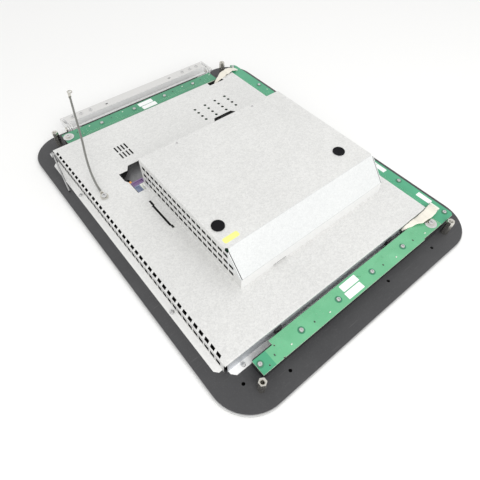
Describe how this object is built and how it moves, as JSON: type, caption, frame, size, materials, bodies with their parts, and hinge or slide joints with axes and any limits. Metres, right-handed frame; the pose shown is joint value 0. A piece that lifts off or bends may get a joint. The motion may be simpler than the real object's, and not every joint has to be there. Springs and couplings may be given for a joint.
{
  "type": "hmi touch panel",
  "caption": "Panel-mount touch display with rounded bezel, galvanised rear tray, vented electronics cover, edge key boards, hinge bar, lanyard and stay.",
  "frame": {"origin": "centre of the front face, on the touch glass", "axes": "+Z points out of the rear of the panel, X along the shorter side, Y along the longer side towards the hinge bar"},
  "size_m": [0.4, 0.527, 0.0964],
  "materials": {
    "bezel_aluminium": "fine satin anodised",
    "front_glass": "polished, printed border on the rear side",
    "black_foam": "matt",
    "display_frame": "satin metallic",
    "black_plate": "matt black powder coat",
    "zinc_steel": "zinc plated",
    "galvanised_sheet": "galvanised, fine spangle",
    "screw_steel": "zinc plated",
    "black_plastic": "moulded, fine texture",
    "black_rubber": "matt",
    "yellow_label": "matt film",
    "white_label": "matt film",
    "dark_sheet": "semi-matt",
    "green_board": "solder mask over glass fibre",
    "purple_plastic": "moulded",
    "blue_plastic": "moulded",
    "pale_plastic": "moulded",
    "sink_aluminium": "extruded",
    "fan_plastic": "moulded",
    "drive_case": "satin",
    "switch_plastic": "moulded",
    "flex_film": "polyester film",
    "hinge_steel": "galvanised",
    "rope_steel": "stranded, clear sheath",
    "stay_wire": "bright wire",
    "key_plastic": "moulded, fine texture"
  },
  "bodies": {
    "panel": {"front_bezel": "bezel_aluminium", "touch_glass": "front_glass", "glass_tape": "black_foam", "display_module": "display_frame", "mounting_plate": "black_plate", "corner_standoffs": "zinc_steel", "tray": "galvanised_sheet", "plate_screws": "screw_steel", "wall_clips": "black_plastic", "service_cover": "galvanised_sheet", "cover_screws": "screw_steel", "port_plugs": "black_rubber", "cover_label": "yellow_label", "inner_chassis": "dark_sheet", "backlight_driver": "green_board", "touch_controller": "green_board", "serial_connector": "purple_plastic", "video_connector": "blue_plastic", "power_connector": "pale_plastic", "mainboard": "green_board", "heat_sink": "sink_aluminium", "fan_frame": "black_plastic", "storage_drive": "drive_case", "drive_bracket": "galvanised_sheet", "near_key_board": "green_board", "far_key_board": "green_board", "side_key_board": "green_board", "near_key_carrier": "black_plastic", "far_key_carrier": "black_plastic", "side_key_carrier": "black_plastic", "board_screws": "screw_steel", "earth_screws": "screw_steel", "board_labels": "white_label", "key_switches": "switch_plastic", "near_flex_cable": "flex_film", "far_flex_cable": "flex_film", "hinge_bracket_left": "hinge_steel", "hinge_bracket_right": "hinge_steel", "hinge_pins": "zinc_steel", "lanyard_screw": "screw_steel", "stay_pivot_screw": "screw_steel"},
    "hinge_bar": {"hinge_bar": "hinge_steel", "hinge_bar_screws": "screw_steel"},
    "lanyard": {"lanyard_rope": "rope_steel", "lanyard_eyes": "zinc_steel"},
    "stay_rod": {"stay_rod": "stay_wire"},
    "fan_rotor": {"fan_rotor": "fan_plastic"},
    "key_near_1": {"key_near_1": "key_plastic"},
    "key_near_2": {"key_near_2": "key_plastic"},
    "key_near_3": {"key_near_3": "key_plastic"},
    "key_near_4": {"key_near_4": "key_plastic"},
    "key_far_1": {"key_far_1": "key_plastic"},
    "key_far_2": {"key_far_2": "key_plastic"},
    "key_far_3": {"key_far_3": "key_plastic"},
    "key_far_4": {"key_far_4": "key_plastic"},
    "key_side_1": {"key_side_1": "key_plastic"},
    "key_side_2": {"key_side_2": "key_plastic"},
    "key_side_3": {"key_side_3": "key_plastic"},
    "key_side_4": {"key_side_4": "key_plastic"},
    "key_side_5": {"key_side_5": "key_plastic"}
  },
  "joints": [
    {"name": "hinge_bar_swing", "type": "hinge", "parent": "panel", "child": "hinge_bar", "pos_m": [0, 0.245, 0.02], "axis": [1, 0, 0], "range_deg": [0, 105]},
    {"name": "lanyard_swivel", "type": "hinge", "parent": "panel", "child": "lanyard", "pos_m": [-0.1606, 0.0735, 0.0303], "axis": [0, 0, 1], "range_deg": [-40, 50]},
    {"name": "stay_swing", "type": "hinge", "parent": "panel", "child": "stay_rod", "pos_m": [-0.1786, 0.197, 0.025], "axis": [-1, 0, 0], "range_deg": [0, 110]},
    {"name": "fan_spin", "type": "hinge", "parent": "panel", "child": "fan_rotor", "pos_m": [0.01, -0.03, 0.0571], "axis": [0, 0, 1], "continuous": true},
    {"name": "key_near_1_press", "type": "slide", "parent": "panel", "child": "key_near_1", "axis": [0, 0, 1], "range_m": [0, 0.0025]},
    {"name": "key_near_2_press", "type": "slide", "parent": "panel", "child": "key_near_2", "axis": [0, 0, 1], "range_m": [0, 0.0025]},
    {"name": "key_near_3_press", "type": "slide", "parent": "panel", "child": "key_near_3", "axis": [0, 0, 1], "range_m": [0, 0.0025]},
    {"name": "key_near_4_press", "type": "slide", "parent": "panel", "child": "key_near_4", "axis": [0, 0, 1], "range_m": [0, 0.0025]},
    {"name": "key_far_1_press", "type": "slide", "parent": "panel", "child": "key_far_1", "axis": [0, 0, 1], "range_m": [0, 0.0025]},
    {"name": "key_far_2_press", "type": "slide", "parent": "panel", "child": "key_far_2", "axis": [0, 0, 1], "range_m": [0, 0.0025]},
    {"name": "key_far_3_press", "type": "slide", "parent": "panel", "child": "key_far_3", "axis": [0, 0, 1], "range_m": [0, 0.0025]},
    {"name": "key_far_4_press", "type": "slide", "parent": "panel", "child": "key_far_4", "axis": [0, 0, 1], "range_m": [0, 0.0025]},
    {"name": "key_side_1_press", "type": "slide", "parent": "panel", "child": "key_side_1", "axis": [0, 0, 1], "range_m": [0, 0.0025]},
    {"name": "key_side_2_press", "type": "slide", "parent": "panel", "child": "key_side_2", "axis": [0, 0, 1], "range_m": [0, 0.0025]},
    {"name": "key_side_3_press", "type": "slide", "parent": "panel", "child": "key_side_3", "axis": [0, 0, 1], "range_m": [0, 0.0025]},
    {"name": "key_side_4_press", "type": "slide", "parent": "panel", "child": "key_side_4", "axis": [0, 0, 1], "range_m": [0, 0.0025]},
    {"name": "key_side_5_press", "type": "slide", "parent": "panel", "child": "key_side_5", "axis": [0, 0, 1], "range_m": [0, 0.0025]}
  ]
}
